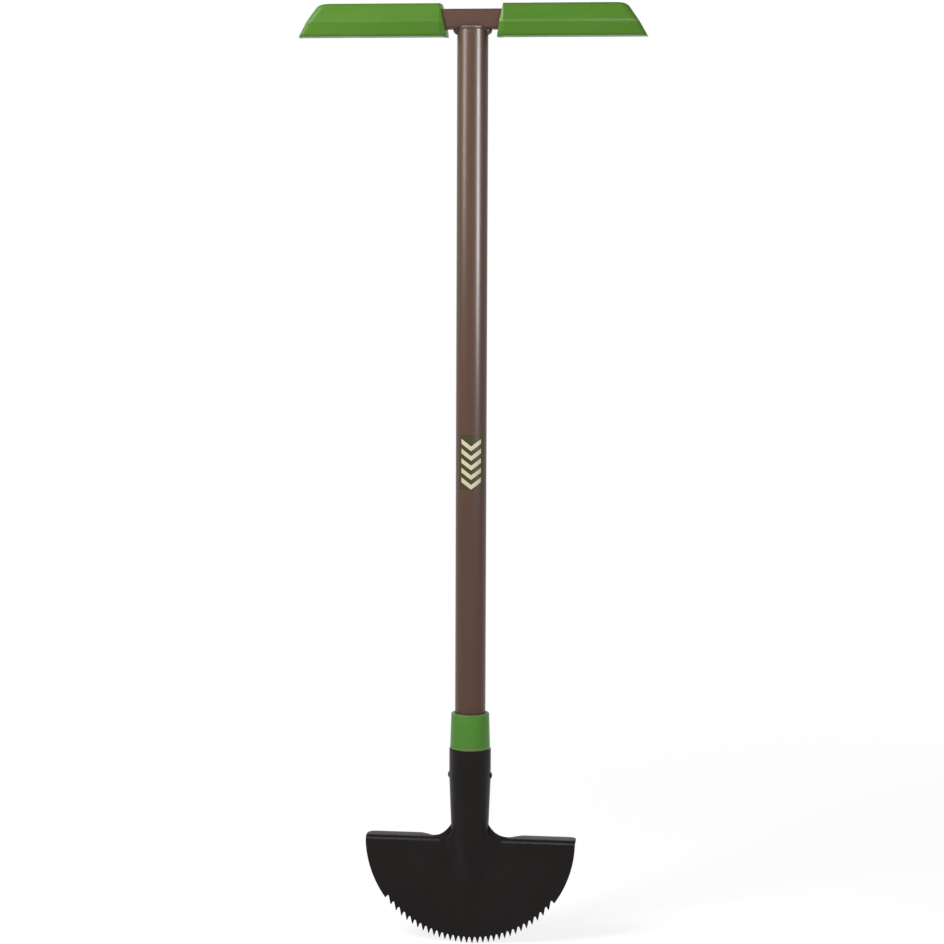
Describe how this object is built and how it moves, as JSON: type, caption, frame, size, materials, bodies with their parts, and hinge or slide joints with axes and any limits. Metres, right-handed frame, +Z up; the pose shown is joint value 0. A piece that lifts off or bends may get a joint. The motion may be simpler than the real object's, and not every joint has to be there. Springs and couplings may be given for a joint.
{
  "type": "border edger",
  "caption": "Half-moon lawn and border edger: toothed steel blade with turned foot treads, rolled socket, straight tube shaft and T-shaped cross handle with moulded grips.",
  "frame": {"origin": "on the shaft's axis, level with the lowest teeth of the blade", "axes": "+Z up the shaft to the cross handle; +X to the right as one faces the blade's front; +Y behind the blade, the way the treads point"},
  "size_m": [0.3598, 0.0438, 0.984],
  "materials": {
    "blade_steel": "satin",
    "rivet_steel": "satin",
    "tube_paint": "gloss",
    "crossbar_paint": "satin",
    "weld_paint": "gloss",
    "ferrule_plastic": "satin",
    "grip_plastic": "satin"
  },
  "bodies": {
    "root": {"blade": "blade_steel", "ferrule": "ferrule_plastic", "main_tube": "tube_paint", "crossbar": "crossbar_paint", "weld_bead": "weld_paint", "left_grip": "grip_plastic", "right_grip": "grip_plastic", "socket_rivet": "rivet_steel"}
  },
  "joints": []
}
